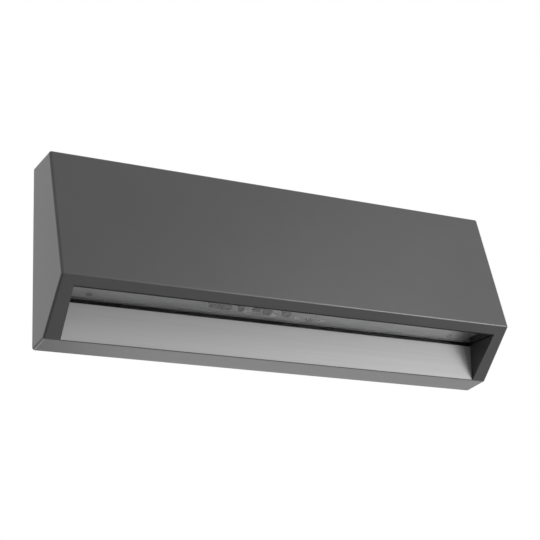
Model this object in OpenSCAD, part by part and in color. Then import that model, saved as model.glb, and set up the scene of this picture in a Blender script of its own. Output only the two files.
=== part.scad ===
// Wedge-shaped outdoor wall light: a cast housing that hooks over a wall bracket, with a
// glass-covered LED board in the ceiling of a notch that throws its light down the wall.
// X runs along the wall, +Y points into the wall, +Z is up, and the wall plane is y = 0.
// Heights are measured from the bottom edge and set down by the height of the wall fixings.

/* [Housing] */
// Length along the wall
body_l = 300; // [250:1:360]
// Height on the wall
body_h = 111; // [107:0.5:130]
// Depth of the top face
top_d = 27; // [25:0.5:32]
// Depth at the front lip
lip_d = 48; // [47:0.5:54]
// Height of the lip above the bottom edge
lip_z = 30; // [29:0.25:32]
// Depth of the bottom face
base_d = 18; // [17.5:0.25:20]
// Rise of the bottom face towards its front edge
base_rise = 1.5; // [0.5:0.25:1.75]
// Thickness of the cast walls
wall_t = 2.5; // [2:0.1:3]
// Radius of the outer edges
edge_r = 1.6; // [1:0.1:1.8]
// Distance of the wall fixings below the top edge
fix_drop = 49; // [48:0.5:54]

/* [Notch] */
// Height of the notch ceiling above the bottom edge
ceil_z = 25.5; // [24.5:0.25:26]
// Thickness of the notch ends at the bottom
cheek_t = 10; // [9.5:0.25:14]
// Draft of the notch ends over their height
cheek_draft = 1.4; // [0.5:0.1:1.8]
// Thickness of the reflector sheet
panel_t = 1; // [0.8:0.1:1.5]
// Shadow gap over the reflector sheet
panel_gap = 1.2; // [0.8:0.1:1.6]
// Depth of the shadow groove in the rail, behind that gap
groove_d = 2.5; // [1:0.1:2.8]
// Height of the step that the reflector sheet stands on
rebate_z = 1.9; // [1.8:0.1:2.4]
// Thickness of the cast wall behind the reflector
web_t = 2; // [1.6:0.1:2.5]
// Depth of the rail that carries the glass
rail_d = 8; // [7:0.25:9]
// Thickness of that rail
rail_t = 3; // [2.8:0.1:3.5]
// Width of the cast strip in front of the glass
strip_w = 1; // [0.5:0.1:1.4]
// Distance of the outer reflector studs from the notch ends
stud_in = 6; // [5:0.5:30]
// Height of the reflector studs above the bottom edge
stud_z = 13; // [11:0.5:15]

/* [Glass and light engine] */
// Thickness of the cover glass
glass_t = 2; // [1.8:0.1:2.4]
// Air between the glass and the LED board
air_h = 4; // [3.7:0.1:4.4]
// Width of the silicone frame on the glass
seal_w = 2.5; // [2:0.1:3]
// Thickness of the LED board
board_t = 1.6; // [1:0.1:2]
// Distance of the board screws from the ends of the board
board_screw_in = 16; // [6:0.1:30]
// Distance of the LEDs and board screws behind the middle of the board
board_line = 6.3; // [3.2:0.1:7]
// Number of LEDs
led_n = 4; // [2:2:8]
// Distance from LED to LED
led_pitch = 17; // [14:0.5:17]
// Length of an LED package
led_l = 3.5; // [2.8:0.1:4]
// Width of an LED package
led_w = 2.8; // [2.4:0.1:3.2]
// Height of an LED package
led_h = 1; // [0.5:0.05:1.2]
// Thickness of the heat sink base
sink_t = 3; // [2:0.1:4]
// Height of the heat sink fins
fin_h = 8; // [6:0.5:12]
// Thickness of a heat sink fin
fin_t = 1.5; // [1.2:0.1:2.2]
// Number of fins
fin_n = 5; // [4:1:6]

/* [Wall bracket and wiring] */
// Thickness of the bracket steel
steel_t = 1.5; // [1.2:0.1:2]
// Distance from the end walls to the wall bracket
bracket_in = 37.5; // [20:0.5:50]
// Distance between the two wall slots
slot_pitch = 140; // [110:1:160]
// Length of a wall slot between its round ends
slot_l = 9; // [4:0.5:16]
// Radius of the round ends of a wall slot
slot_r = 2.5; // [2:0.1:3]
// Radius of the cable opening in the grommet
cable_r = 5; // [3.5:0.1:5.5]
// Distance of the locking screws from the bracket ends
lock_in = 15; // [8:0.5:24]
// Depth of those screws behind the wall plane
lock_d = 10; // [9:0.25:12]
// Thickness of the foam seal on the wall side
foam_t = 3; // [2:0.25:4]
// Width of that foam seal
foam_w = 5; // [4:0.25:5.5]
// Distance between the terminal poles
pole_pitch = 10; // [10:0.5:12]
// Height of the terminal block
block_h = 15; // [14:0.25:16]
// Radius of the inner leads over their insulation
lead_r = 1.1; // [0.8:0.05:1.15]

/* [Hidden] */
eps = 0.01;
ball_fn = 48;
round_fn = 48;
past = 1;
fix_z = body_h - fix_drop;

// Clearances
fit_gap = 0.15;
slide_gap = 0.3;
bore_gap = 0.05;

// Corners of the side profile, as [y, z]
P_TOP_BACK = [0, body_h];
P_TOP = [-top_d, body_h];
P_LIP = [-lip_d, lip_z];
P_BASE = [-base_d, base_rise];
P_BASE_BACK = [0, 0];

function unit(v) = v / norm(v);
function inward(a, b) = let (d = unit(b - a)) [-d[1], d[0]];
function inset(a, b, c, t) = let (m = inward(a, b), n = inward(b, c)) b + t * (m + n) / (1 + m * n);
function at_z(a, b, z) = a + (b - a) * (z - a[1]) / (b[1] - a[1]);
function at_y(a, b, y) = a + (b - a) * (y - a[0]) / (b[0] - a[0]);

// Inner corners of the cast walls
I_TOP = inset(P_TOP_BACK, P_TOP, P_LIP, wall_t);
I_LIP = inset(P_TOP, P_LIP, P_BASE, wall_t);
I_BASE = inset(P_LIP, P_BASE, P_BASE_BACK, wall_t);
I_BASE_BACK = I_BASE + P_BASE_BACK - P_BASE;
in_top = body_h - wall_t;
in_x = body_l / 2 - wall_t;
open_y = at_z(P_LIP, P_BASE, ceil_z)[0];
sheet_back = base_d - panel_t;
web_back = sheet_back - web_t;
rail_back = sheet_back - rail_d;
groove_drop = 0.3;

// Heights of the light engine
glass_top = ceil_z + glass_t;
board_z = glass_top + air_h;
sink_z = board_z + board_t;
fin_z = sink_z + sink_t;

// Posts that carry the heat sink
post_r = 2.2;
post_x = in_x - post_r - 0.1;
post_in = 4.5;
pilot_r = 1.25;
pilot_l = 7;
post_head_r = 2.1;
post_head_h = 1.8;

// Plan of the glass and of what lies on it
glass_x = post_x - post_r - slide_gap;
glass_front = open_y + strip_w + fit_gap;
glass_back = -rail_back - past;
seal_x = glass_x - seal_w;
board_x = seal_x - slide_gap;
board_front = glass_front + seal_w + slide_gap;
board_back = glass_back - seal_w - slide_gap;
board_y = (board_front + board_back) / 2;
line_y = board_y + board_line;
board_screw_x = board_x - board_screw_in;
sink_room = 0.8;
sink_x = in_x - slide_gap;
sink_front = open_y + sink_room;
sink_back = -rail_back - slide_gap;
post_front_y = sink_front + post_in;
post_back_y = sink_back - post_in;
fin_room = 1.5;
fin_in = 8.5;
fin_front = at_z(I_TOP, I_LIP, fin_z + fin_h)[0] + fin_room;

// Board screws
bs_r = 1.25;
bs_head_r = 1.8;
bs_head_h = 0.8;
bs_deep = 2.4;

// Driver parts on the board, as distances from the middle of the board
drop_n = 4;
drop_pitch = 3.5;
drop_size = [2.9, 5, 3.4];
drop_at = [-46.6, -4.6];
fuse_size = [1.9, 5.4, 3.4];
fuse_at = [-32.9, -4.7];
chip_size = [4.4, 4.6, 1.5];
chip_at = [-21.2, -2.3];
choke_size = [4.2, 5, 3.4];
choke_at = [-15.3, -4.4];
choke_foot = [1, 0.5];
bridge_size = [5, 4, 3.2];
bridge_at = [-2.4, -4];
leg_size = [0.5, 1.2, 0.6];
leg_pitch = 1.27;
bridge_leg_pitch = 2.5;
surge_r = 2;
surge_h = 1.2;
surge_at = [19.6, 6.5];
cap_size = [2, 1.25, 0.9];
cap_at = [[-30, 1.1], [-10.6, 0.9], [18.4, -4.5], [40.3, -4]];
led_mid = 2.4;

// Leads through the heat sink
lead_hole_x = -62.5;
lead_hole_y = board_y + 2;
lead_gap = 5;
lead_hole_r = 5.2;
lead_lip_r = 6.4;
lead_lip_h = 1.5;
fin_window = 9;

// Terminal block
poles = 3;
block_d = 13;
block_end = 6;
pole_y = -steel_t - block_d / 2;
clamp_r = 2.6;
clamp_bore_r = lead_r + bore_gap;
clamp_inset = 0.5;
clamp_screw_r = 1.2;
clamp_screw_z = 3.5;
clamp_well_r = 1.9;
clamp_head_r = 1.7;
clamp_head_h = 1.5;
block_screw_r = 1.2;
block_screw_head_r = 2.1;
block_screw_head_h = 1.6;

// Earth post and what is bolted to it
earth_in = 35;
earth_x = in_x - bracket_in - earth_in;
earth_end = 14;
earth_r = 4.2;
earth_bore_r = 2;
earth_bore_l = 10;
ring_t = 0.8;
ring_r = 3.9;
barrel_r = 1.9;
barrel_l = 6;
barrel_end = earth_x - earth_r - slide_gap;
tongue_l = 1.2;
washer_t = 0.8;
earth_head_r = 3.5;
earth_head_h = 2.6;

// Wall bracket
edge_room = 1.5;
bracket_half = in_x - bracket_in;
flange_z = in_top - foam_w - edge_room;
flange_d = 16;
bracket_low = wall_t + foam_w + edge_room;
lip_out = 12;
lip_low = at_y(I_BASE, I_BASE_BACK, -lip_out)[1] + edge_room;
hook_l = 30;
hook_x = bracket_half - hook_l;
hook_y = 7.5;
hook_t = 2;
hook_gap = 1;
dome_r = 14;
dome_d = 2.5;
block_gap = 0.5;
block_z = fix_z + dome_r + block_gap + block_h / 2;
block_top = block_z + block_h / 2;
earth_z = block_z + 1;
grommet_hole_r = 9;
grommet_lip = 2.2;
grommet_lip_t = 1.2;
lock_x = bracket_half - lock_in;
lock_r = 2;
lock_head_r = 3.8;
lock_head_h = 2.2;
lock_l = 13;
boss_r = 4.6;

// Foam ribs
rib_t = 2;
rib_l = 6;
rib_pitch = 50;
rib_over_fins = 1;
rib_under_top = 24;

module at_wall() {
  translate([0, 0, -fix_z]) children();
}

// Extrudes a profile of [y, z] points along X, centred
module along_x(length, points) {
  rotate([90, 0, 90])
    linear_extrude(height = length, center = true)
      polygon(points);
}

// Stands an outline of [x, z] points up as a sheet between two depths
module standing(y_front, y_back, points) {
  translate([0, y_back, 0])
    rotate([90, 0, 0])
      linear_extrude(height = y_back - y_front)
        polygon(points);
}

module block(x, y, z) {
  translate([x[0], y[0], z[0]])
    cube([x[1] - x[0], y[1] - y[0], z[1] - z[0]]);
}

module disc(r, h) {
  cylinder(r = r, h = h, $fn = round_fn);
}

// A cylinder that runs from y_front to y_back
module pin_y(r, x, y_front, y_back, z) {
  translate([x, y_back, z])
    rotate([90, 0, 0]) disc(r, y_back - y_front);
}

module pair_x(x) {
  for (s = [-1, 1])
    translate([s * x, 0, 0]) children();
}

// Cap-head screw with its head seat at the origin, the shank going down
module screw(shank_r, shank_l, head_r, head_h, key_r) {
  difference() {
    union() {
      translate([0, 0, -shank_l]) disc(shank_r, shank_l + eps);
      disc(head_r, head_h);
    }
    translate([0, 0, head_h / 2]) cylinder(r = key_r, h = head_h, $fn = 6);
  }
}

// Outer form of the casting, with rounded edges
module outer_form() {
  ball = edge_r / cos(180 / ball_fn);
  tops = inset(P_TOP_BACK, P_TOP, P_LIP, edge_r);
  lips = inset(P_TOP, P_LIP, P_BASE, edge_r);
  bases = inset(P_LIP, P_BASE, P_BASE_BACK, edge_r);
  hull()
    pair_x(body_l / 2 - edge_r) {
      for (p = [tops, lips, bases])
        translate([0, p[0], p[1]]) sphere(r = ball, $fn = ball_fn);
      for (z = [edge_r, body_h - edge_r])
        translate([0, 0, z])
          rotate([90, 0, 0]) cylinder(r = edge_r, h = edge_r, $fn = ball_fn);
    }
}

// Outline of the space between the notch ends, less a clearance
function notch_side(z) = body_l / 2 - cheek_t + cheek_draft * (z - rebate_z) / (ceil_z - rebate_z);
function notch_outline(z0, z1, gap) = [
  [-notch_side(z0) + gap, z0],
  [notch_side(z0) - gap, z0],
  [notch_side(z1) - gap, z1],
  [-notch_side(z1) + gap, z1]
];

module notch() {
  top = ceil_z + past;
  groove_z = ceil_z - panel_gap - groove_drop;
  front = -lip_d - past;
  intersection() {
    along_x(body_l, [
      [-sheet_back, rebate_z],
      [-sheet_back, groove_z],
      [groove_d - sheet_back, groove_z],
      [groove_d - sheet_back, top],
      [open_y + strip_w, top],
      [open_y + strip_w, ceil_z],
      [front, ceil_z],
      [front, rebate_z]
    ]);
    standing(front - past, 0, notch_outline(rebate_z - past, top + past, 0));
  }
}

// Everything that the core takes out from the wall side
module core() {
  rear = at_y(I_BASE, I_BASE_BACK, past);
  web_foot = at_y(I_BASE, I_BASE_BACK, -web_back);
  along_x(2 * in_x, [
    rear,
    web_foot,
    [-web_back, ceil_z - rail_t],
    [-rail_back, ceil_z - rail_t],
    [-rail_back, ceil_z],
    at_z(I_LIP, I_LIP + P_BASE - P_LIP, ceil_z),
    I_LIP,
    I_TOP,
    [past, in_top]
  ]);
}

// Half-wall form that posts and ribs are trimmed to
module wall_core() {
  t = wall_t / 2;
  a = inset(P_TOP_BACK, P_TOP, P_LIP, t);
  b = inset(P_TOP, P_LIP, P_BASE, t);
  c = inset(P_LIP, P_BASE, P_BASE_BACK, t);
  along_x(body_l - wall_t, [[0, c[1] - base_rise], c, b, a, [0, body_h - t]]);
}

module casting_ribs() {
  y = [-foam_t - rib_l, -foam_t];
  rib_n = floor((in_x - rib_t) / rib_pitch);
  for (i = [-rib_n : rib_n]) {
    x = [i * rib_pitch - rib_t / 2, i * rib_pitch + rib_t / 2];
    block(x, y, [in_top - foam_w, body_h]);
    block(x, y, [0, wall_t + foam_w]);
  }
  for (z = [fin_z + fin_h + rib_over_fins, body_h - rib_under_top], s = [-1, 1])
    block(s > 0 ? [in_x - foam_w, in_x + wall_t] : [-in_x - wall_t, foam_w - in_x], y, [z, z + rib_t]);
}

module casting_posts() {
  for (s = [-1, 1], y = [post_front_y, post_back_y]) {
    translate([s * post_x, y, ceil_z - past]) disc(post_r, sink_z - ceil_z + past);
    block(s > 0 ? [post_x, in_x + past] : [-in_x - past, -post_x],
      [y - post_r, y + post_r], [ceil_z - past, sink_z]);
  }
  pair_x(lock_x)
    translate([0, -lock_d, flange_z]) disc(boss_r, body_h - flange_z);
  pin_y(earth_r, earth_x, -lip_d, -earth_end, earth_z);
}

// Hooks on the floor that catch behind the lip of the bracket
module casting_hooks() {
  for (s = [-1, 1])
    block([s * hook_x - hook_l / 2, s * hook_x + hook_l / 2],
      [-hook_y - hook_t, -hook_y], [0, bracket_low - hook_gap]);
}

module housing() {
  color("dimgray") at_wall()
    difference() {
      union() {
        difference() {
          outer_form();
          core();
          notch();
          block([-glass_x - fit_gap, glass_x + fit_gap], [open_y + strip_w, -rail_back], [ceil_z, lip_z + past]);
        }
        intersection() {
          wall_core();
          union() {
            casting_ribs();
            casting_posts();
            casting_hooks();
          }
        }
      }
      for (s = [-1, 1], y = [post_front_y, post_back_y])
        translate([s * post_x, y, sink_z - pilot_l]) disc(pilot_r + bore_gap, pilot_l + past);
      pair_x(lock_x)
        translate([0, -lock_d, flange_z - past]) {
          disc(lock_r + fit_gap, body_h - flange_z + 2 * past);
          translate([0, 0, past + body_h - flange_z - lock_head_h])
            disc(lock_head_r + fit_gap, lock_head_h + past);
        }
      pin_y(earth_bore_r + bore_gap, earth_x, -earth_end - earth_bore_l, past - earth_end, earth_z);
      for (x = STUDS)
        pin_y(pilot_r + fit_gap, x, -base_d, past - web_back, stud_z);
    }
}

// Press-in studs of the reflector and their nuts
stud_far = body_l / 2 - cheek_t - stud_in;
STUDS = [-stud_far, -stud_far / 3, stud_far / 3, stud_far];
nut_r = 2.9;
nut_h = 2.2;
stud_past = 1.4;

// Brushed sheet with studs that go through the cast wall
module reflector_panel() {
  color("silver") at_wall() {
    standing(-base_d, -sheet_back, notch_outline(rebate_z, ceil_z - panel_gap, slide_gap));
    for (x = STUDS)
      pin_y(pilot_r, x, -sheet_back - eps, nut_h + stud_past - web_back, stud_z);
  }
}

module panel_nuts() {
  color("gainsboro") at_wall()
    for (x = STUDS)
      translate([x, nut_h - web_back, stud_z])
        rotate([90, 0, 0])
          difference() {
            cylinder(r = nut_r, h = nut_h, $fn = 6);
            translate([0, 0, -past]) disc(pilot_r + bore_gap, nut_h + 2 * past);
          }
}

module cover_glass() {
  color("lightcyan") at_wall()
    block([-glass_x, glass_x], [glass_front, glass_back], [ceil_z, glass_top]);
}

// Silicone frame between the glass and the heat sink
module glass_seal() {
  color("whitesmoke") at_wall()
    difference() {
      block([-glass_x, glass_x], [glass_front, glass_back], [glass_top, sink_z]);
      block([-seal_x, seal_x], [glass_front + seal_w, glass_back - seal_w],
        [glass_top - past, sink_z + past]);
    }
}

module heat_sink() {
  fin_span = sink_back - fin_front - fin_t;
  color("lightgray") at_wall()
    difference() {
      union() {
        block([-sink_x, sink_x], [sink_front, sink_back], [sink_z, fin_z]);
        for (i = [0 : fin_n - 1]) {
          y = fin_front + i * fin_span / (fin_n - 1);
          block([fin_in - glass_x, glass_x - fin_in], [y, y + fin_t], [fin_z - eps, fin_z + fin_h]);
        }
      }
      for (s = [-1, 1], y = [post_front_y, post_back_y]) {
        translate([s * post_x, y, sink_z - past]) disc(pilot_r + fit_gap, sink_t + 2 * past);
        block(s > 0 ? [post_x, in_x] : [-in_x, -post_x],
          [y - pilot_r - fit_gap, y + pilot_r + fit_gap], [sink_z - past, fin_z + past]);
      }
      pair_x(board_screw_x)
        translate([0, line_y, sink_z - past]) disc(bs_r + bore_gap, past + bs_deep);
      translate([lead_hole_x, lead_hole_y, sink_z - past]) disc(lead_hole_r, sink_t + 2 * past);
      block([lead_hole_x - fin_window, lead_hole_x + fin_window],
        [lead_hole_y - fin_window, lead_hole_y + fin_window], [fin_z, fin_z + fin_h + past]);
    }
}

module heat_sink_screws() {
  color("gainsboro") at_wall()
    for (s = [-1, 1], y = [post_front_y, post_back_y])
      translate([s * post_x, y, fin_z])
        screw(pilot_r, pilot_l + sink_t - past, post_head_r, post_head_h, post_head_r / 2);
}

module led_board() {
  color("white") at_wall()
    difference() {
      block([-board_x, board_x], [board_front, board_back], [board_z, sink_z]);
      pair_x(board_screw_x)
        translate([0, line_y, board_z - past]) disc(bs_r + fit_gap, board_t + 2 * past);
    }
}

module board_screws() {
  color("black") at_wall()
    pair_x(board_screw_x)
      translate([0, line_y, board_z])
        mirror([0, 0, 1]) screw(bs_r, board_t + bs_deep - slide_gap, bs_head_r, bs_head_h, bs_head_r / 2);
}

function led_x(i) = led_mid + (i - (led_n - 1) / 2) * led_pitch;
led_well_r = led_w * 0.42;
led_well_d = led_h * 0.4;

module led_packages() {
  color("ivory") at_wall()
    for (i = [0 : led_n - 1])
      translate([led_x(i), line_y, board_z - led_h])
        difference() {
          translate([-led_l / 2, -led_w / 2, 0]) cube([led_l, led_w, led_h]);
          translate([0, 0, -past]) disc(led_well_r, past + led_well_d);
        }
}

module led_phosphors() {
  color("gold") at_wall()
    for (i = [0 : led_n - 1])
      translate([led_x(i), line_y, board_z - led_h]) disc(led_well_r, led_well_d);
}

// Sets a part of a given height under the board
module under_board(at, h) {
  translate([at[0], board_y + at[1], board_z - h]) children();
}

module centred_box(size) {
  translate([-size[0] / 2, -size[1] / 2, 0]) cube(size);
}

module dropper_resistors() {
  color("darkslategray") at_wall()
    for (i = [0 : drop_n - 1])
      under_board(drop_at + [(i - (drop_n - 1) / 2) * drop_pitch, 0], drop_size[2]) centred_box(drop_size);
}

module fuse_resistor() {
  color("slategray") at_wall()
    under_board(fuse_at, fuse_size[2]) centred_box(fuse_size);
}

module driver_chip() {
  color("black") at_wall()
    under_board(chip_at, chip_size[2]) centred_box(chip_size);
}

// Square choke with a moulded foot at each end
module choke() {
  color("black") at_wall()
    under_board(choke_at, choke_size[2])
      difference() {
        centred_box(choke_size);
        for (s = [-1, 1])
          translate([0, s * choke_size[1] / 2, choke_size[2] - choke_foot[1]])
            centred_box([choke_size[0] + 2 * past, 2 * choke_foot[0], 2 * choke_foot[1]]);
      }
}

module bridge_rectifier() {
  color("black") at_wall()
    under_board(bridge_at, bridge_size[2]) centred_box(bridge_size);
}

module leg_row(at, size, count, pitch) {
  for (i = [0 : count - 1], s = [-1, 1])
    under_board(at + [(i - (count - 1) / 2) * pitch, s * (size[1] + leg_size[1]) / 2], leg_size[2])
      centred_box(leg_size);
}

module chip_leads() {
  color("silver") at_wall() {
    leg_row(chip_at, chip_size, 4, leg_pitch);
    leg_row(bridge_at, bridge_size, 2, bridge_leg_pitch);
  }
}

module surge_absorber() {
  color("steelblue") at_wall()
    under_board(surge_at, surge_h) disc(surge_r, surge_h);
}

module chip_capacitors() {
  color("peru") at_wall()
    for (at = cap_at)
      under_board(at, cap_size[2]) centred_box(cap_size);
}

// Rubber bush that takes both leads through the heat sink
module lead_grommet() {
  color("dimgray") at_wall()
    translate([lead_hole_x, lead_hole_y, sink_z])
      difference() {
        union() {
          disc(lead_hole_r - bore_gap, sink_t);
          translate([0, 0, sink_t]) disc(lead_lip_r, lead_lip_h);
        }
        for (s = [-1, 1])
          translate([s * lead_gap / 2, 0, -past])
            disc(lead_r + bore_gap, sink_t + lead_lip_h + 2 * past);
      }
}

// Smooth curve through the chosen points of a route
function bend(a, b, c, d, t) = 0.5 * (2 * b + (c - a) * t + (2 * a - 5 * b + 4 * c - d) * t * t
  + (3 * b - a - 3 * c + d) * t * t * t);
route_steps = 4;
function curve(p) = let (n = len(p)) concat([for (i = [0 : n - 2], k = [0 : route_steps - 1])
  bend(p[max(i - 1, 0)], p[i], p[i + 1], p[min(i + 2, n - 1)], k / route_steps)], [p[n - 1]]);

// Sides of a swept tube, square to its path
tube_sides = 8;
function heading(p, i) = unit(p[min(i + 1, len(p) - 1)] - p[max(i - 1, 0)]);
function carried(v, t) = unit(v - (v * t) * t);
function frames(p, i = 0, v = [0.6, 0.8, 0.2]) = i == len(p) ? [] :
  let (w = carried(v, heading(p, i))) concat([w], frames(p, i + 1, w));
function ring(c, t, u, r) = [for (k = [0 : tube_sides - 1])
  let (a = 360 * (k + 0.5) / tube_sides) c + r * (cos(a) * u + sin(a) * cross(t, u))];

module tube(route, r) {
  path = curve(route);
  n = len(path);
  sides = frames(path);
  skin = [for (i = [0 : n - 1]) each ring(path[i], heading(path, i), sides[i], r)];
  m = tube_sides;
  polyhedron(skin, concat(
    [[for (k = [m - 1 : -1 : 0]) k]],
    [for (i = [0 : n - 2], k = [0 : m - 1]) each [
      [i * m + k, i * m + (k + 1) % m, (i + 1) * m + (k + 1) % m],
      [i * m + k, (i + 1) * m + (k + 1) % m, (i + 1) * m + k]]],
    [[for (k = [0 : m - 1]) (n - 1) * m + k]]
  ));
}

// How the leads leave their terminals and turn
lead_grip = 6;
lead_up = 2;
lead_turn = 5;
lead_drop = 8;
lead_layer = 1.5;

module supply_lead(pole_x, hole_x, rise, run_y) {
  tube([
    [pole_x, pole_y, block_top - lead_grip],
    [pole_x, pole_y, block_top],
    [pole_x, pole_y, block_top + lead_up],
    [pole_x - lead_turn, run_y, rise],
    [(pole_x + hole_x) / 2, run_y, rise],
    [hole_x + lead_drop / 2, run_y - lead_drop / 2, rise - lead_drop],
    [hole_x, lead_hole_y, (rise + fin_z) / 2],
    [hole_x, lead_hole_y, fin_z + fin_h],
    [hole_x, lead_hole_y, fin_z + lead_lip_h],
    [hole_x, lead_hole_y, sink_z]
  ], lead_r);
}

module live_lead() {
  color("saddlebrown") at_wall()
    supply_lead(-pole_pitch, lead_hole_x + lead_gap / 2, block_top + lead_turn, pole_y - lead_r);
}

module neutral_lead() {
  color("royalblue") at_wall()
    supply_lead(0, lead_hole_x - lead_gap / 2, block_top + lead_turn + lead_layer,
      pole_y - lead_r - lead_turn);
}

ring_y = -earth_end + ring_t / 2;

module earth_lead() {
  end_x = barrel_end - barrel_l;
  color("yellowgreen") at_wall()
    tube([
      [pole_pitch, pole_y, block_top - lead_grip],
      [pole_pitch, pole_y, block_top],
      [pole_pitch, pole_y, block_top + lead_up],
      [pole_pitch + lead_turn, pole_y - lead_r, block_top + lead_turn],
      [(pole_pitch + end_x) / 2, (pole_y + ring_y) / 2, block_top + lead_up],
      [end_x - lead_turn, ring_y, earth_z],
      [end_x, ring_y, earth_z],
      [end_x + barrel_l - past, ring_y, earth_z]
    ], lead_r);
}

// Crimped ring terminal on the earth post
module earth_terminal() {
  color("gold") at_wall()
    difference() {
      union() {
        pin_y(ring_r, earth_x, -earth_end, ring_t - earth_end, earth_z);
        translate([barrel_end - barrel_l, ring_y, earth_z])
          rotate([0, 90, 0]) disc(barrel_r, barrel_l);
        block([barrel_end - ring_t / 2, earth_x - ring_r + tongue_l], [-earth_end, ring_t - earth_end],
          [earth_z - barrel_r, earth_z + barrel_r]);
      }
      pin_y(earth_bore_r + fit_gap, earth_x, -earth_end - past, ring_t - earth_end + past, earth_z);
      translate([barrel_end - barrel_l - past, ring_y, earth_z])
        rotate([0, 90, 0]) disc(lead_r + bore_gap, barrel_l + past - ring_t);
    }
}

module earth_washer() {
  color("gainsboro") at_wall()
    difference() {
      pin_y(ring_r, earth_x, ring_t - earth_end, ring_t + washer_t - earth_end, earth_z);
      pin_y(earth_bore_r + fit_gap, earth_x, -earth_end, washer_t + ring_t - earth_end + past, earth_z);
    }
}

module earth_screw() {
  color("silver") at_wall()
    translate([earth_x, ring_t + washer_t - earth_end, earth_z])
      rotate([-90, 0, 0])
        screw(earth_bore_r, ring_t + washer_t + earth_bore_l - past, earth_head_r, earth_head_h,
          earth_head_r / 2);
}

block_x = (poles - 1) / 2 * pole_pitch + block_end;
block_front = -steel_t - block_d;
function pole_x(i) = (i - (poles - 1) / 2) * pole_pitch;

module terminal_block() {
  color("white") at_wall()
    difference() {
      block([-block_x, block_x], [block_front, -steel_t], [block_z - block_h / 2, block_top]);
      for (i = [0 : poles - 1]) {
        translate([pole_x(i), pole_y, block_z - block_h / 2 - past])
          disc(clamp_r + bore_gap, block_h + 2 * past);
        for (s = [-1, 1])
          pin_y(clamp_well_r, pole_x(i), block_front - past, pole_y, block_z + s * clamp_screw_z);
      }
      pair_x(pole_pitch / 2) {
        pin_y(block_screw_r + fit_gap, 0, block_front - past, past - steel_t, block_z);
        pin_y(block_screw_head_r + fit_gap, 0, block_front - past, block_front + block_d / 2, block_z);
      }
      for (s = [-1, 1], i = [0 : poles - 2])
        block([(pole_x(i) + pole_x(i + 1)) / 2 - 0.6, (pole_x(i) + pole_x(i + 1)) / 2 + 0.6],
          [block_front - past, block_front + 3],
          s > 0 ? [block_top - 3, block_top + past] :
            [block_z - block_h / 2 - past, block_z - block_h / 2 + 3]);
    }
}

module terminal_clamps() {
  color("goldenrod") at_wall()
    for (i = [0 : poles - 1])
      difference() {
        translate([pole_x(i), pole_y, block_z - block_h / 2 + clamp_inset])
          disc(clamp_r, block_h - 2 * clamp_inset);
        translate([pole_x(i), pole_y, block_z - block_h / 2]) disc(clamp_bore_r, block_h);
        for (s = [-1, 1])
          pin_y(clamp_screw_r + bore_gap, pole_x(i), pole_y - clamp_r - past, pole_y,
            block_z + s * clamp_screw_z);
      }
}

module terminal_screws() {
  reach = clamp_r - lead_r - bore_gap;
  color("silver") at_wall()
    for (i = [0 : poles - 1], s = [-1, 1])
      translate([pole_x(i), pole_y - clamp_r, block_z + s * clamp_screw_z])
        rotate([90, 0, 0]) screw(clamp_screw_r, reach, clamp_head_r, clamp_head_h, clamp_head_r / 2);
}

module terminal_fixing_screws() {
  seat = block_front + block_d / 2;
  color("silver") at_wall()
    pair_x(pole_pitch / 2)
      translate([0, seat, block_z])
        rotate([90, 0, 0]) screw(block_screw_r, -seat - slide_gap, block_screw_head_r,
          block_screw_head_h, block_screw_head_r / 2);
}

// Folded steel bracket: wall plate, top flange and a turned-down lip below
module wall_bracket() {
  half = bracket_half;
  color("lightsteelblue") at_wall()
    difference() {
      union() {
        block([-half, half], [-steel_t, 0], [bracket_low, flange_z]);
        block([-half, half], [-flange_d, 0], [flange_z - steel_t, flange_z]);
        block([-half, half], [-lip_out, 0], [bracket_low, bracket_low + steel_t]);
        block([-half, half], [-lip_out, steel_t - lip_out], [lip_low, bracket_low + steel_t]);
        pin_y(dome_r, 0, -dome_d - steel_t, 0, fix_z);
      }
      pin_y(dome_r - steel_t, 0, -dome_d, past, fix_z);
      pin_y(grommet_hole_r, 0, -dome_d - steel_t - past, past, fix_z);
      for (s = [-1, 1]) {
        for (e = [-1, 1])
          pin_y(slot_r, s * slot_pitch / 2 + e * slot_l / 2, -steel_t - past, past, fix_z);
        block([s * slot_pitch / 2 - slot_l / 2, s * slot_pitch / 2 + slot_l / 2],
          [-steel_t - past, past], [fix_z - slot_r, fix_z + slot_r]);
        translate([s * lock_x, -lock_d, flange_z - steel_t - past])
          disc(lock_r + bore_gap, steel_t + 2 * past);
      }
      pair_x(pole_pitch / 2)
        pin_y(block_screw_r + bore_gap, 0, -steel_t - past, past, block_z);
    }
}

// Rubber grommet in the raised middle of the bracket
module cable_grommet() {
  front = -dome_d - steel_t;
  color("darkslategray") at_wall()
    difference() {
      union() {
        pin_y(grommet_hole_r - bore_gap, 0, front - grommet_lip_t, grommet_lip_t - dome_d, fix_z);
        pin_y(grommet_hole_r + grommet_lip, 0, front - grommet_lip_t, front, fix_z);
        pin_y(grommet_hole_r + grommet_lip, 0, -dome_d, grommet_lip_t - dome_d, fix_z);
      }
      pin_y(cable_r, 0, front - grommet_lip_t - past, past, fix_z);
    }
}

module wall_seal() {
  low = I_BASE_BACK[1] + base_rise * foam_t / base_d + fit_gap;
  x = in_x - fit_gap;
  top = in_top - fit_gap;
  color("darkgray") at_wall()
    difference() {
      block([-x, x], [-foam_t, 0], [low, top]);
      block([-x + foam_w, x - foam_w], [-foam_t - past, past], [low + foam_w, top - foam_w]);
    }
}

module housing_screws() {
  color("silver") at_wall()
    pair_x(lock_x)
      translate([0, -lock_d, body_h - lock_head_h])
        screw(lock_r, lock_l, lock_head_r, lock_head_h, lock_head_r / 2);
}

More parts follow.
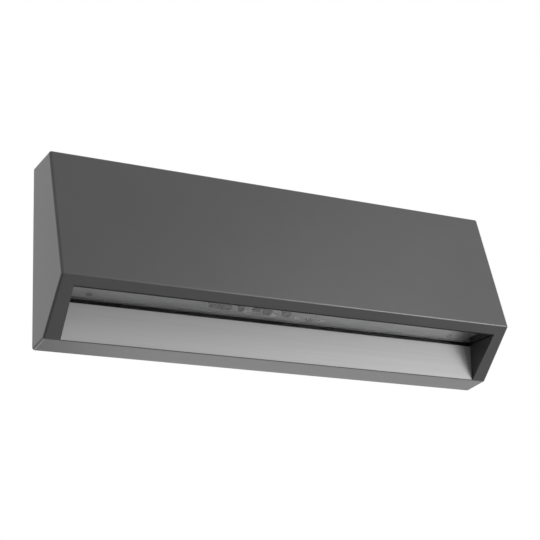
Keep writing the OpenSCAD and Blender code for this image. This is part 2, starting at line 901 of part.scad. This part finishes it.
housing();
reflector_panel();
panel_nuts();
cover_glass();
glass_seal();
heat_sink();
heat_sink_screws();
led_board();
board_screws();
led_packages();
led_phosphors();
dropper_resistors();
fuse_resistor();
driver_chip();
choke();
bridge_rectifier();
chip_leads();
surge_absorber();
chip_capacitors();
lead_grommet();
live_lead();
neutral_lead();
earth_lead();
earth_terminal();
earth_washer();
earth_screw();
terminal_block();
terminal_clamps();
terminal_screws();
terminal_fixing_screws();
wall_bracket();
cable_grommet();
wall_seal();
housing_screws();
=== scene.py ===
"""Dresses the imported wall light: finishes, board detail, leads, foam seal, light and camera.

Everything is in metres in the frame of the part: X along the light, +Y into the wall, +Z up.
"""
import math

import bmesh
import bpy
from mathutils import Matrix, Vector


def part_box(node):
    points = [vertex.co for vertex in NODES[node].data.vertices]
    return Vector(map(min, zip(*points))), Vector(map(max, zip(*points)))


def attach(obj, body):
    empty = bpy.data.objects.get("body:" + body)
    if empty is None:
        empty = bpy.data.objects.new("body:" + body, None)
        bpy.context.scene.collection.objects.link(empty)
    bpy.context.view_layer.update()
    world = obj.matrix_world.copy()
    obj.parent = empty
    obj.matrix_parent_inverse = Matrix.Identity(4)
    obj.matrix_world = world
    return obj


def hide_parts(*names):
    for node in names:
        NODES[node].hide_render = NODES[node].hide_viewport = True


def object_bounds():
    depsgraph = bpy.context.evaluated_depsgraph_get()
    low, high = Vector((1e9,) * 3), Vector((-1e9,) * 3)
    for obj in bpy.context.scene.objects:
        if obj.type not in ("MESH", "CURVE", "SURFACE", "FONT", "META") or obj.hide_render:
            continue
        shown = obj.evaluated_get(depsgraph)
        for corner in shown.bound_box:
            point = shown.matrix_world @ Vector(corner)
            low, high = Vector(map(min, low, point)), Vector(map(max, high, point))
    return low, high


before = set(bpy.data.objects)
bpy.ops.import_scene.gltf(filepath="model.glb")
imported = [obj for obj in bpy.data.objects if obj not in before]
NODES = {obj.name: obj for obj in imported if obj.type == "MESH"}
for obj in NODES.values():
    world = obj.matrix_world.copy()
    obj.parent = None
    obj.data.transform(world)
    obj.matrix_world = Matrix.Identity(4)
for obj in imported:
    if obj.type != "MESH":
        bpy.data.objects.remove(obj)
cad_low, cad_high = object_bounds()
MM = 0.001


# Camera

# Where the camera stands, and its turns about X, Y and Z in degrees
CAMERA_AT = (-0.38878, -0.70676, -0.27727)
CAMERA_TURN = (109.2274, 2.7145, -28.1541)
SENSOR_MM = 36
LENS_MM = 91.06
CLIP_NEAR = 0.02
CLIP_FAR = 50


def make_camera():
    """The photograph's camera, fitted to the outline of the housing."""
    data = bpy.data.cameras.new("camera")
    data.sensor_width = SENSOR_MM
    data.lens = LENS_MM
    data.clip_start = CLIP_NEAR
    data.clip_end = CLIP_FAR
    camera = bpy.data.objects.new("camera", data)
    camera.location = CAMERA_AT
    camera.rotation_euler = [math.radians(angle) for angle in CAMERA_TURN]
    bpy.context.scene.collection.objects.link(camera)
    bpy.context.scene.camera = camera


# Light and stage

# The world as a light: LOW_LEVEL where the cosine of the angle to SKY_WAY is SKY_STARTS or
# less, rising to HIGH_LEVEL where it is SKY_FULL or more
LOW_LEVEL = 0.05
HIGH_LEVEL = 0.70
SKY_WAY = (0.0, 0.6, 0.8)
SKY_STARTS = -0.1
SKY_FULL = 0.6

FLOOR_Z = -1.1
FLOOR_HALF = 6.0

# Lamps that light the front look at FRONT_AIM, the others at BODY_AIM
FRONT_AIM = (0.03, -0.03, 0)
BODY_AIM = (0, -0.03, -0.02)
# Name, azimuth, elevation, distance, width, height, watts, aim
LAMPS = [
    ("key", 42, -5, 0.75, 0.25, 0.25, 1.97, FRONT_AIM),
    ("key_left", 31, -8, 0.75, 0.25, 0.25, 1.75, FRONT_AIM),
    ("high_right", 30, 27, 0.9, 0.4, 0.4, 1.05, FRONT_AIM),
    ("left", -150, 0, 0.8, 0.6, 0.6, 0.04, BODY_AIM),
    ("low_right", 140, -40, 0.9, 0.8, 0.8, 2.0, BODY_AIM),
    ("low_left", -165, -34, 0.9, 0.5, 0.4, 1.1, BODY_AIM),
    ("top", 180, 62, 1.3, 2.0, 1.6, 4.0, BODY_AIM),
]


def make_world():
    """White where it is seen directly, mirrored or through glass, and softer as a light.

    Behind a diffuse bounce it is only the light.
    """
    world = bpy.data.worlds.new("studio")
    bpy.context.scene.world = world
    world.use_nodes = True
    tree = world.node_tree
    tree.nodes.clear()
    out = tree.nodes.new("ShaderNodeOutputWorld")
    mix = tree.nodes.new("ShaderNodeMixShader")
    lit = tree.nodes.new("ShaderNodeBackground")
    seen = tree.nodes.new("ShaderNodeBackground")
    path = tree.nodes.new("ShaderNodeLightPath")
    most = tree.nodes.new("ShaderNodeMath")
    most.operation = "MAXIMUM"
    all_three = tree.nodes.new("ShaderNodeMath")
    all_three.operation = "MAXIMUM"
    once = tree.nodes.new("ShaderNodeMath")
    once.operation = "LESS_THAN"
    once.inputs[1].default_value = 0.5
    direct = tree.nodes.new("ShaderNodeMath")
    direct.operation = "MULTIPLY"
    seen.inputs["Color"].default_value = (1, 1, 1, 1)
    seen.inputs["Strength"].default_value = 1.0
    where = tree.nodes.new("ShaderNodeTexCoord")
    height = tree.nodes.new("ShaderNodeVectorMath")
    height.operation = "DOT_PRODUCT"
    height.inputs[1].default_value = SKY_WAY
    ramp = tree.nodes.new("ShaderNodeMapRange")
    ramp.interpolation_type = "SMOOTHSTEP"
    ramp.inputs["From Min"].default_value = SKY_STARTS
    ramp.inputs["From Max"].default_value = SKY_FULL
    ramp.inputs["To Min"].default_value = LOW_LEVEL
    ramp.inputs["To Max"].default_value = HIGH_LEVEL
    tree.links.new(where.outputs["Generated"], height.inputs[0])
    tree.links.new(height.outputs["Value"], ramp.inputs["Value"])
    tree.links.new(ramp.outputs[0], lit.inputs["Strength"])
    tree.links.new(path.outputs["Is Camera Ray"], most.inputs[0])
    tree.links.new(path.outputs["Is Glossy Ray"], most.inputs[1])
    tree.links.new(most.outputs[0], all_three.inputs[0])
    tree.links.new(path.outputs["Is Transmission Ray"], all_three.inputs[1])
    tree.links.new(path.outputs["Diffuse Depth"], once.inputs[0])
    tree.links.new(all_three.outputs[0], direct.inputs[0])
    tree.links.new(once.outputs[0], direct.inputs[1])
    tree.links.new(direct.outputs[0], mix.inputs[0])
    tree.links.new(lit.outputs[0], mix.inputs[1])
    tree.links.new(seen.outputs[0], mix.inputs[2])
    tree.links.new(mix.outputs[0], out.inputs["Surface"])


def area_lamp(name, azimuth, elevation, distance, width, height, watts, aim):
    """A soft box that looks at aim. Azimuth 0 stands in front of the light, 90 to its right."""
    a, e = math.radians(azimuth), math.radians(elevation)
    away = Vector((math.sin(a) * math.cos(e), -math.cos(a) * math.cos(e), math.sin(e)))
    data = bpy.data.lights.new(name, "AREA")
    data.shape = "RECTANGLE"
    data.size = width
    data.size_y = height
    data.energy = watts
    lamp = bpy.data.objects.new(name, data)
    lamp.location = Vector(aim) + away * distance
    lamp.rotation_euler = (-away).to_track_quat("-Z", "Y").to_euler()
    bpy.context.scene.collection.objects.link(lamp)


def make_floor():
    """A pale paper floor far below the light."""
    mesh = bpy.data.meshes.new("floor")
    corners = [(x * FLOOR_HALF, y * FLOOR_HALF, FLOOR_Z)
               for x, y in ((-1, -1), (1, -1), (1, 1), (-1, 1))]
    mesh.from_pydata(corners, [], [(0, 1, 2, 3)])
    floor = bpy.data.objects.new("floor", mesh)
    bpy.context.scene.collection.objects.link(floor)
    look = Look("floor_paper", roughness=0.9)
    look.colour_between(look.noise(30, 4), grey(0.80), grey(0.84))
    mesh.materials.append(look.material)


# Materials

class Look:
    """One Principled material, with the few kinds of node that the finishes share.

    Extra arguments name its sockets, with _ for a space.
    """

    def __init__(self, name, color=(0.5, 0.5, 0.5), roughness=0.5, metallic=0.0, **sockets):
        self.material = bpy.data.materials.new(name)
        self.material.use_nodes = True
        self.tree = self.material.node_tree
        self.shader = self.tree.nodes["Principled BSDF"]
        self.shader.inputs["Base Color"].default_value = (*color, 1)
        self.shader.inputs["Roughness"].default_value = roughness
        self.shader.inputs["Metallic"].default_value = metallic
        for socket, value in sockets.items():
            self.shader.inputs[socket.replace("_", " ")].default_value = value
        self.where = self.tree.nodes.new("ShaderNodeTexCoord").outputs["Object"]

    def new(self, kind, **values):
        node = self.tree.nodes.new("ShaderNode" + kind)
        for name, value in values.items():
            setattr(node, name, value)
        return node

    def link(self, a, b):
        self.tree.links.new(a, b)

    def stretched(self, scale):
        """Coordinates scaled by a different number along each axis."""
        node = self.new("Mapping")
        node.inputs["Scale"].default_value = scale
        self.link(self.where, node.inputs["Vector"])
        return node.outputs[0]

    def noise(self, scale, detail, rough=0.55, where=None):
        node = self.new("TexNoise")
        node.inputs["Scale"].default_value = scale
        node.inputs["Detail"].default_value = detail
        node.inputs["Roughness"].default_value = rough
        self.link(where or self.where, node.inputs["Vector"])
        return node.outputs["Fac"]

    def cells(self, scale, output="Distance"):
        node = self.new("TexVoronoi", feature="F1")
        node.inputs["Scale"].default_value = scale
        self.link(self.where, node.inputs["Vector"])
        return node.outputs[output]

    def ranged(self, value, low, high, to_low, to_high):
        """The value, mapped from low and high to to_low and to_high."""
        node = self.new("MapRange")
        for socket, number in zip(("From Min", "From Max", "To Min", "To Max"),
                                  (low, high, to_low, to_high)):
            node.inputs[socket].default_value = number
        self.link(value, node.inputs["Value"])
        return node.outputs[0]

    def colour_between(self, value, low, high, start=0.3, end=0.7):
        """A colour from low, where value is start, to high, where it is end."""
        node = self.new("ValToRGB")
        node.color_ramp.elements[0].position = start
        node.color_ramp.elements[0].color = (*low, 1)
        node.color_ramp.elements[1].position = end
        node.color_ramp.elements[1].color = (*high, 1)
        self.link(value, node.inputs[0])
        self.link(node.outputs[0], self.shader.inputs["Base Color"])

    def roughness_between(self, value, low, high):
        self.link(self.ranged(value, 0.3, 0.7, low, high), self.shader.inputs["Roughness"])

    def bump(self, value, height_mm, strength):
        """Relief of a height in mm, added to any that is there."""
        node = self.new("Bump")
        node.inputs["Strength"].default_value = strength
        node.inputs["Distance"].default_value = height_mm * MM
        self.link(value, node.inputs["Height"])
        before = self.shader.inputs["Normal"].links
        if before:
            self.link(before[0].from_socket, node.inputs["Normal"])
        self.link(node.outputs[0], self.shader.inputs["Normal"])


def grey(value, warm=0.0):
    """A grey, or with warm above 0 a yellowish one."""
    return (value * (1 + warm), value, value * (1 - warm))


def powder_coat():
    """Dark satin powder paint with a fine orange peel."""
    look = Look("powder_coat")
    cloud = look.noise(14, 3)
    look.colour_between(cloud, grey(0.066), grey(0.074))
    orange_peel = look.noise(900, 2)
    fine = look.noise(3200, 3)
    look.roughness_between(fine, 0.29, 0.34)
    look.bump(orange_peel, 0.05, 0.35)
    look.bump(fine, 0.02, 0.3)
    return look.material


def brushed_sheet():
    """Light brushed and lacquered sheet, its lines along X."""
    look = Look("brushed_sheet", metallic=0.3)
    lines = look.noise(1.0, 4, 0.7, look.stretched((35, 400, 5200)))
    streaks = look.noise(1.0, 3, 0.6, look.stretched((6, 60, 700)))
    look.colour_between(streaks, grey(0.362), grey(0.378))
    look.roughness_between(lines, 0.54, 0.60)
    look.bump(lines, 0.004, 0.4)
    return look.material


def satin_aluminium():
    """Extruded aluminium, its die lines along X."""
    look = Look("satin_aluminium", metallic=1.0)
    lines = look.noise(1.0, 4, 0.7, look.stretched((25, 2600, 2600)))
    cloud = look.noise(60, 3)
    look.colour_between(cloud, grey(0.50), grey(0.58))
    look.roughness_between(lines, 0.32, 0.48)
    look.bump(lines, 0.012, 0.5)
    return look.material


def clear_glass():
    """Clear glass that mirrors little, with a trace of haze."""
    look = Look("clear_glass", color=(0.965, 0.975, 0.97), Transmission_Weight=1.0, IOR=1.5,
                Specular_IOR_Level=0.1, Specular_Tint=(0.45, 0.45, 0.45, 1))
    haze = look.noise(45, 4)
    look.link(look.ranged(haze, 0.45, 0.8, 0.0, 0.006), look.shader.inputs["Roughness"])
    return look.material


def moulded(name, low, high, rough, grain=0.02, warm=0.0, **sockets):
    """Rubber, nylon, resin, ferrite or black oxide, between two greys, with a fine skin."""
    look = Look(name, **sockets)
    cloud = look.noise(220, 4)
    look.colour_between(cloud, grey(low, warm), grey(high, warm))
    skin = look.noise(2600, 3)
    look.roughness_between(skin, rough - 0.05, rough + 0.05)
    look.bump(skin, grain, 0.4)
    return look.material


def foam():
    """Dark foam with fine closed cells."""
    look = Look("closed_cell_foam", roughness=0.92)
    cells = look.cells(1500)
    look.colour_between(cells, grey(0.075), grey(0.035), 0.1, 0.75)
    look.bump(cells, 0.12, 0.6)
    look.bump(look.noise(250, 3), 0.15, 0.3)
    return look.material


def galvanised():
    """Zinc with its spangle."""
    look = Look("galvanised_steel", metallic=1.0)
    spangle = look.cells(260, output="Color")
    grains = look.new("SeparateColor")
    look.link(spangle, grains.inputs[0])
    look.colour_between(grains.outputs[0], grey(0.40), grey(0.52), 0.0, 1.0)
    look.link(look.ranged(grains.outputs[1], 0, 1, 0.34, 0.50), look.shader.inputs["Roughness"])
    look.bump(look.noise(1500, 3), 0.012, 0.4)
    return look.material


def plated(name, low, high, rough, warm=0.0):
    """Smooth metal of small parts: plated, tinned or bare."""
    look = Look(name, metallic=1.0)
    cloud = look.noise(600, 3)
    look.colour_between(cloud, grey(low, warm), grey(high, warm))
    fine = look.noise(3500, 2)
    look.roughness_between(fine, rough - 0.06, rough + 0.08)
    look.bump(fine, 0.006, 0.4)
    return look.material


def tinted(name, low, high, rough):
    """Coloured plastic or resin, given as two close colours."""
    look = Look(name)
    look.colour_between(look.noise(300, 4), low, high)
    skin = look.noise(2800, 3)
    look.roughness_between(skin, rough - 0.04, rough + 0.06)
    look.bump(skin, 0.01, 0.35)
    return look.material


def solder_mask():
    """White mask over the weave of the board and its covered copper."""
    look = Look("solder_mask", Specular_IOR_Level=0.25)
    weave = look.noise(1.0, 2, 0.5, look.stretched((1400, 1400, 300)))
    look.colour_between(look.noise(90, 3), grey(0.49), grey(0.53))
    look.roughness_between(weave, 0.50, 0.60)
    look.bump(weave, 0.002, 0.3)
    return look.material


# Meshes

BEVEL_STEPS = 2
BEVEL_PROFILE = 0.6


def piece(name, mesh_maker, material, smooth=None):
    """A new piece on the root body, its mesh filled by mesh_maker(bm).

    Where smooth is given, edges below that angle in degrees are shaded smooth.
    """
    bm = bmesh.new()
    mesh_maker(bm)
    bmesh.ops.recalc_face_normals(bm, faces=bm.faces)
    mesh = bpy.data.meshes.new(name)
    bm.to_mesh(mesh)
    bm.free()
    mesh.materials.append(material)
    made = bpy.data.objects.new(name, mesh)
    bpy.context.scene.collection.objects.link(made)
    if smooth is not None:
        mesh.shade_smooth()
        mesh.set_sharp_from_angle(angle=math.radians(smooth))
    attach(made, "root")
    return made


def add_block(bm, low, high, bevel, inset=0.0):
    """A bevelled block between two corners, its lower end narrower by inset all round."""
    made = bmesh.ops.create_cube(bm, size=1.0)
    centre = (Vector(low) + Vector(high)) / 2
    size = Vector(high) - Vector(low)
    for v in made["verts"]:
        x, y, z = v.co
        pull = inset if z < 0 else 0.0
        v.co = centre + Vector((x * (size.x - 2 * pull), y * (size.y - 2 * pull), z * size.z))
    edges = list(dict.fromkeys(e for v in made["verts"] for e in v.link_edges))
    bmesh.ops.bevel(bm, geom=edges, offset=bevel, segments=BEVEL_STEPS, profile=BEVEL_PROFILE,
                    affect="EDGES", clamp_overlap=True)


def smooth_route(points, steps):
    """Catmull-Rom curve through the points, as part.scad draws its leads."""
    points = [Vector(p) for p in points]
    path = []
    for i in range(len(points) - 1):
        a, b = points[max(i - 1, 0)], points[i]
        c, d = points[i + 1], points[min(i + 2, len(points) - 1)]
        for k in range(steps):
            t = k / steps
            path.append(0.5 * (2 * b + (c - a) * t + (2 * a - 5 * b + 4 * c - d) * t * t
                               + (3 * b - a - 3 * c + d) * t * t * t))
    path.append(points[-1])
    return path


def add_tube(bm, path, radius, sides=20):
    """A closed tube along a path, its frame carried from ring to ring."""
    side = Vector((0.6, 0.8, 0.2))  # any way that no lead starts along
    rings = []
    for i, centre in enumerate(path):
        along = (path[min(i + 1, len(path) - 1)] - path[max(i - 1, 0)]).normalized()
        side = (side - side.dot(along) * along).normalized()
        other = along.cross(side)
        rings.append([bm.verts.new(centre + radius * (math.cos(a) * side + math.sin(a) * other))
                      for a in (2 * math.pi * k / sides for k in range(sides))])
    for one, two in zip(rings, rings[1:]):
        for k in range(sides):
            bm.faces.new((one[k], one[(k + 1) % sides], two[(k + 1) % sides], two[k]))
    bm.faces.new(list(reversed(rings[0])))
    bm.faces.new(rings[-1])


# Board detail

board_low, board_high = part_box("led_board")
BOARD_Z = board_low.z
BOARD_Y = (board_low.y + board_high.y) / 2
# How far solder and tracks reach into the board, so that they sit on it without a gap
SUNK = 0.02 * MM
TRACE_H = 0.045 * MM
FILLET_MAX = 0.65 * MM
FILLET_SHARE = 0.8  # of the height of a low part
JOINT_H = 0.22 * MM
JOINT_BEVEL = 0.1 * MM
JOINT_INSET = 0.06 * MM
JOINT_OUT = (0.12 * MM, 0.25 * MM)
SAME_PLACE = 1e-6
# Soldered nodes, each with the axis that the two ends of its parts lie on
TWO_ENDED = [("led_packages", 0), ("dropper_resistors", 1), ("fuse_resistor", 1),
             ("chip_capacitors", 0), ("surge_absorber", 0), ("choke", 1)]


def loose_boxes(node):
    """Boxes of the separate solids in a node, found by joining faces through shared places."""
    bm = bmesh.new()
    bm.from_mesh(node.data)
    bmesh.ops.remove_doubles(bm, verts=bm.verts, dist=SAME_PLACE)
    left, boxes = set(bm.verts), []
    while left:
        group, todo = set(), [next(iter(left))]
        while todo:
            v = todo.pop()
            if v in group:
                continue
            group.add(v)
            todo.extend(e.other_vert(v) for e in v.link_edges)
        left -= group
        low = Vector(min(v.co[i] for v in group) for i in range(3))
        high = Vector(max(v.co[i] for v in group) for i in range(3))
        boxes.append((low, high))
    bm.free()
    return sorted(boxes, key=lambda pair: (round(pair[0].x, 5), round(pair[0].y, 5)))


def solder_fillets(bm):
    """A rounded solder fillet at both ends of every two-ended part."""
    for node, axis in TWO_ENDED:
        other = 1 - axis
        for low, high in loose_boxes(NODES[node]):
            half = [FILLET_MAX, FILLET_MAX, min(FILLET_MAX, FILLET_SHARE * (high.z - low.z))]
            half[other] = (high[other] - low[other]) / 2
            for end in (low[axis], high[axis]):
                centre = [(low.x + high.x) / 2, (low.y + high.y) / 2, BOARD_Z]
                centre[axis] = end
                add_dome(bm, centre, half)


def add_dome(bm, centre, half):
    """Half of an ellipsoid that hangs under the board."""
    made = bmesh.ops.create_uvsphere(bm, u_segments=20, v_segments=12, radius=1.0)
    for v in made["verts"]:
        x, y, z = v.co
        v.co = Vector((centre[0] + x * half[0], centre[1] + y * half[1],
                       centre[2] + min(z * half[2], SUNK)))


def leg_joints(bm):
    """Solder at the feet of the chip and the rectifier."""
    for low, high in loose_boxes(NODES["chip_leads"]):
        out_x, out_y = JOINT_OUT
        add_block(bm, (low.x - out_x, low.y - out_y, BOARD_Z - JOINT_H),
                  (high.x + out_x, high.y + out_y, BOARD_Z + SUNK), JOINT_BEVEL, JOINT_INSET)


def add_strip(bm, points, width):
    """A flat track through the given points, in mm from the middle of the board."""
    half = width * MM / 2
    for (x0, y0), (x1, y1) in zip(points, points[1:]):
        a = Vector((x0 * MM, BOARD_Y + y0 * MM, 0))
        b = Vector((x1 * MM, BOARD_Y + y1 * MM, 0))
        along = (b - a).normalized() * half
        side = Vector((-along.y, along.x, 0))
        corners = [a - along + side, a - along - side, b + along - side, b + along + side]
        under = [bm.verts.new((p.x, p.y, BOARD_Z - TRACE_H)) for p in corners]
        over = [bm.verts.new((p.x, p.y, BOARD_Z + SUNK)) for p in corners]
        bm.faces.new(under)
        bm.faces.new(list(reversed(over)))
        for k in range(4):
            bm.faces.new((over[k], over[(k + 1) % 4], under[(k + 1) % 4], under[k]))


# Points and width of each track, in mm, with x from the middle of the light
TRACKS = [
    ([(-65, 2), (-58, 2), (-55, -3.6)], 1.2),
    ([(-60, 2), (-56, 6.3), (-25.6, 6.3)], 1.1),
    ([(-39, -4.6), (-34.5, -4.6)], 1.4),
    ([(-32.9, -1.2), (-31.2, 1.1)], 0.8),
    ([(-20.8, 6.3), (-8.4, 6.3)], 1.8),
    ([(-3.8, 6.3), (8.6, 6.3)], 1.8),
    ([(13.2, 6.3), (25.6, 6.3)], 1.8),
    ([(30.2, 6.3), (104, 6.3)], 1.5),
    ([(1.2, -1.6), (8, -1.6), (60, -1.6), (70, 2), (112, 2)], 1.3),
    ([(22.4, 6.5), (30, 10.6), (96, 10.6)], 1.0),
    ([(-112, 6.3), (-78, 6.3), (-68, -1.6), (-56, -1.6), (-54.6, -2.6)], 1.3),
    ([(40.3, -3.2), (40.3, -1.6)], 0.8),
]


def board_tracks(bm):
    """The copper tracks, which show as low relief under the white mask."""
    for points, width in TRACKS:
        add_strip(bm, points, width)


# The lip of the glass seal: its ends, what lies on the glass and past its front edge, its
# thickness, how far it reaches into the glass, and where its two side strips stop
LIP_END = 141.2 * MM
LIP_ON_GLASS = 0.6 * MM
LIP_PAST_GLASS = 1.1 * MM
LIP_THICK = 0.12 * MM
LIP_SUNK = 0.01 * MM
LIP_BEVEL = 0.04 * MM
LIP_SHORT_OF_BACK = 2.6 * MM


def seal_lip(bm):
    """The thin lip of the glass seal that shows along the front and the ends of the glass. It is
    a real lip, drawn in a darker copy of the seal's silicone as a painted shade line there.
    """
    low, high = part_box("cover_glass")
    end, wide = LIP_END, LIP_ON_GLASS
    top = low.z + LIP_SUNK
    under = top - LIP_THICK
    add_block(bm, (-end, low.y - LIP_PAST_GLASS, under), (end, low.y + wide, top), LIP_BEVEL)
    for x0, x1 in ((-end, wide - end), (end - wide, end)):
        add_block(bm, (x0, low.y + wide, under), (x1, high.y - LIP_SHORT_OF_BACK, top), LIP_BEVEL)


# Leads and foam

LEAD_R = 1.1 * MM
LEAD_STEPS = 10
LEAD_ROUGH = 0.42
# Points along the leads, in mm, with heights from the bottom edge
LIVE = [(-10, -8, 85.5), (-10, -8, 91.5), (-10, -8, 93.5), (-15, -9.1, 96.5), (-35, -9.1, 96.5),
        (-56, -13.1, 88.5), (-60, -24.06, 66.3), (-60, -24.06, 44.1), (-60, -24.06, 37.6),
        (-60, -24.06, 33.1)]
NEUTRAL = [(0, -8, 85.5), (0, -8, 91.5), (0, -8, 93.5), (-5, -14.1, 98), (-32.5, -14.1, 98),
           (-61, -18.1, 90), (-65, -24.06, 67.05), (-65, -24.06, 44.1), (-65, -24.06, 37.6),
           (-65, -24.06, 33.1)]
EARTH = [(10, -8, 85.5), (10, -8, 91.5), (10, -8, 93.5), (15, -9.1, 96.5), (37.25, -10.8, 93.5),
         (59.5, -13.6, 85), (64.5, -13.6, 85), (69.5, -13.6, 85)]
# Piece, node that it replaces, points, slot and two close colours
LEADS = [
    ("live_wire", "live_lead", LIVE, "brown_insulation",
     (0.16, 0.065, 0.03), (0.19, 0.08, 0.035)),
    ("neutral_wire", "neutral_lead", NEUTRAL, "blue_insulation",
     (0.03, 0.10, 0.36), (0.04, 0.13, 0.42)),
    ("earth_wire", "earth_lead", EARTH, "green_insulation",
     (0.10, 0.30, 0.05), (0.12, 0.34, 0.06)),
]
FOAM_W = 5 * MM
FOAM_SIDES = 24
FOAM_SQUARE = 0.35  # power that turns the round of the section into a soft square


def add_lead(bm, points):
    """A lead as a tube along the curve through its points."""
    route = smooth_route([(x * MM, y * MM, z * MM + cad_low.z) for x, y, z in points], LEAD_STEPS)
    add_tube(bm, route, LEAD_R)


def foam_frame(bm):
    """The foam seal as a frame with rounded edges, mitred at its corners."""
    low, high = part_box("wall_seal")
    rings = []
    for step in range(FOAM_SIDES):
        a = 2 * math.pi * step / FOAM_SIDES
        c, s = math.cos(a), math.sin(a)
        inset = (0.5 + 0.5 * math.copysign(abs(c) ** FOAM_SQUARE, c)) * FOAM_W
        y = low.y + (0.5 + 0.5 * math.copysign(abs(s) ** FOAM_SQUARE, s)) * (high.y - low.y)
        left, right = low.x + inset, high.x - inset
        bottom, top = low.z + inset, high.z - inset
        rings.append([bm.verts.new((x, y, z)) for x, z in
                      ((left, bottom), (right, bottom), (right, top), (left, top))])
    for one, two in zip(rings, rings[1:] + rings[:1]):
        for k in range(4):
            bm.faces.new((one[k], one[(k + 1) % 4], two[(k + 1) % 4], two[k]))


# Dressing

def dress(looks):
    """Gives each CAD node in the list its finish. A replaced node needs none."""
    for material, nodes in looks:
        for node in nodes:
            data = NODES[node].data
            data.materials.clear()
            data.materials.append(material)
            data.polygons.foreach_set("material_index", [0] * len(data.polygons))


def main():
    """Camera, finishes, new pieces, then the light."""
    make_camera()
    paint = powder_coat()
    steel = plated("zinc_plate", 0.52, 0.60, 0.30)
    tin = plated("tinned_metal", 0.74, 0.82, 0.15)
    black_rubber = moulded("black_rubber", 0.022, 0.032, 0.62)
    mask = solder_mask()
    # The glass seal is drawn in dark grey, far darker than its own light silicone. This is the
    # real seal, darkened as painted shade at the back and the right end of the space behind the
    # glass.
    silicone = moulded("silicone", 0.065, 0.085, 0.60, 0.002, Specular_IOR_Level=0.15)
    # The seal's lip is a still darker copy of the same silicone. This is the real lip, darkened
    # as a painted shade line along the front and the ends of the glass.
    lip_rubber_painted_shade = moulded("silicone_lip_painted_shade", 0.018, 0.026, 0.60, 0.002, Specular_IOR_Level=0.1)
    dress([
        (paint, ["housing"]),
        (brushed_sheet(), ["reflector_panel"]),
        (satin_aluminium(), ["heat_sink"]),
        (clear_glass(), ["cover_glass"]),
        (silicone, ["glass_seal"]),
        (mask, ["led_board"]),
        (moulded("black_oxide", 0.008, 0.012, 0.60, 0.002, Specular_IOR_Level=0.08),
         ["board_screws"]),
        (moulded("led_body", 0.86, 0.90, 0.25, warm=0.01), ["led_packages"]),
        (tinted("phosphor", (0.76, 0.74, 0.60), (0.82, 0.80, 0.66), 0.25), ["led_phosphors"]),
        (moulded("resistor_body", 0.012, 0.018, 0.60, 0.004, Specular_IOR_Level=0.1),
         ["dropper_resistors", "fuse_resistor"]),
        (moulded("chip_resin", 0.010, 0.016, 0.60, 0.004, Specular_IOR_Level=0.1),
         ["driver_chip", "bridge_rectifier"]),
        (moulded("ferrite", 0.010, 0.016, 0.60, 0.004, Specular_IOR_Level=0.1), ["choke"]),
        (tinted("surge_resin", (0.10, 0.12, 0.17), (0.12, 0.14, 0.20), 0.30), ["surge_absorber"]),
        (moulded("capacitor_body", 0.20, 0.26, 0.42, warm=0.08), ["chip_capacitors"]),
        (tin, ["chip_leads", "earth_terminal"]),
        (steel, ["panel_nuts", "heat_sink_screws", "earth_washer", "earth_screw",
                 "terminal_screws", "terminal_fixing_screws"]),
        (plated("stainless_steel", 0.38, 0.45, 0.40), ["housing_screws"]),
        (plated("turned_brass", 0.44, 0.52, 0.30, warm=0.35), ["terminal_clamps"]),
        (moulded("white_nylon", 0.66, 0.72, 0.42), ["terminal_block"]),
        (galvanised(), ["wall_bracket"]),
        (black_rubber, ["cable_grommet", "lead_grommet"]),
    ])
    piece("solder_fillets", solder_fillets, tin, smooth=50)
    piece("leg_joints", leg_joints, tin, smooth=50)
    piece("board_tracks", board_tracks, mask)
    piece("seal_lip", seal_lip, lip_rubber_painted_shade)
    for name, node, points, slot, low, high in LEADS:
        wire = piece(name, lambda bm, points=points: add_lead(bm, points),
                     tinted(name + "_skin", low, high, LEAD_ROUGH), smooth=50)
        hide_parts(node)
    strip = piece("foam_strip", foam_frame, foam(), smooth=40)
    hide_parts("wall_seal")

    make_world()
    make_floor()
    for lamp in LAMPS:
        area_lamp(*lamp)


main()

scene = bpy.context.scene
scene.view_settings.view_transform = "Standard"
